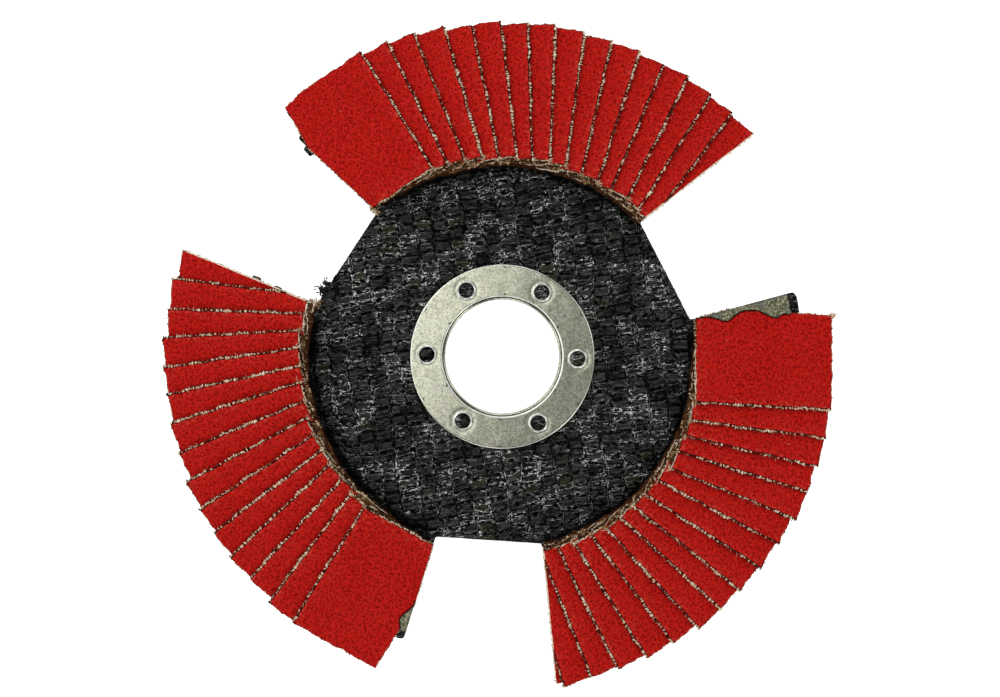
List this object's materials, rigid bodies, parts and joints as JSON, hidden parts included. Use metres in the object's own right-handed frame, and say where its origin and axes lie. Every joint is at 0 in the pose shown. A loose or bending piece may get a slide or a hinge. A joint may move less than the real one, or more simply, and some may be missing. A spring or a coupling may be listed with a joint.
{
  "type": "see-through flap disc",
  "caption": "Round abrasive flap disc for a grinder, its fans of overlapping red flaps parted by see-through gaps around a steel-ringed bore.",
  "frame": {"origin": "on the bore axis in the plane of the rear hub face, which rests on the grinder's flange", "axes": "+Z along the spindle, from the grinder to the work; the disc lies on its back on Z = 0; one gap faces -Y"},
  "size_m": [0.1297, 0.1271, 0.0137],
  "materials": {
    "abrasive_cloth": "cloth flaps faced with sharp red grit in red resin, brown cloth at the cut edges",
    "glass_resin": "black resin pressed over an open glass weave",
    "plated_steel": "thin plated steel pressing, satin",
    "cement": "speckled grey resin cement",
    "paper_label": "plain paper, no printing"
  },
  "bodies": {
    "root": {"bore_ring": "plated_steel", "rear_label": "paper_label", "rear_glass_ply": "glass_resin", "plate_core": "glass_resin", "front_glass_ply": "glass_resin", "fan1_cement_bed": "cement", "fan1_flap_01": "abrasive_cloth", "fan1_flap_02": "abrasive_cloth", "fan1_flap_03": "abrasive_cloth", "fan1_flap_04": "abrasive_cloth", "fan1_flap_05": "abrasive_cloth", "fan1_flap_06": "abrasive_cloth", "fan1_flap_07": "abrasive_cloth", "fan1_flap_08": "abrasive_cloth", "fan1_flap_09": "abrasive_cloth", "fan1_flap_10": "abrasive_cloth", "fan1_flap_11": "abrasive_cloth", "fan1_flap_12": "abrasive_cloth", "fan1_flap_13": "abrasive_cloth", "fan1_flap_14": "abrasive_cloth", "fan1_flap_15": "abrasive_cloth", "fan1_flap_16": "abrasive_cloth", "fan1_cut_flaps": "abrasive_cloth", "fan2_cement_bed": "cement", "fan2_flap_01": "abrasive_cloth", "fan2_flap_02": "abrasive_cloth", "fan2_flap_03": "abrasive_cloth", "fan2_flap_04": "abrasive_cloth", "fan2_flap_05": "abrasive_cloth", "fan2_flap_06": "abrasive_cloth", "fan2_flap_07": "abrasive_cloth", "fan2_flap_08": "abrasive_cloth", "fan2_flap_09": "abrasive_cloth", "fan2_flap_10": "abrasive_cloth", "fan2_flap_11": "abrasive_cloth", "fan2_flap_12": "abrasive_cloth", "fan2_flap_13": "abrasive_cloth", "fan2_flap_14": "abrasive_cloth", "fan2_flap_15": "abrasive_cloth", "fan2_cut_flaps": "abrasive_cloth", "fan3_cement_bed": "cement", "fan3_flap_01": "abrasive_cloth", "fan3_flap_02": "abrasive_cloth", "fan3_flap_03": "abrasive_cloth", "fan3_flap_04": "abrasive_cloth", "fan3_flap_05": "abrasive_cloth", "fan3_flap_06": "abrasive_cloth", "fan3_flap_07": "abrasive_cloth", "fan3_flap_08": "abrasive_cloth", "fan3_flap_09": "abrasive_cloth", "fan3_flap_10": "abrasive_cloth", "fan3_flap_11": "abrasive_cloth", "fan3_flap_12": "abrasive_cloth", "fan3_flap_13": "abrasive_cloth", "fan3_flap_14": "abrasive_cloth", "fan3_flap_15": "abrasive_cloth", "fan3_flap_16": "abrasive_cloth", "fan3_cut_flaps": "abrasive_cloth"}
  },
  "joints": []
}
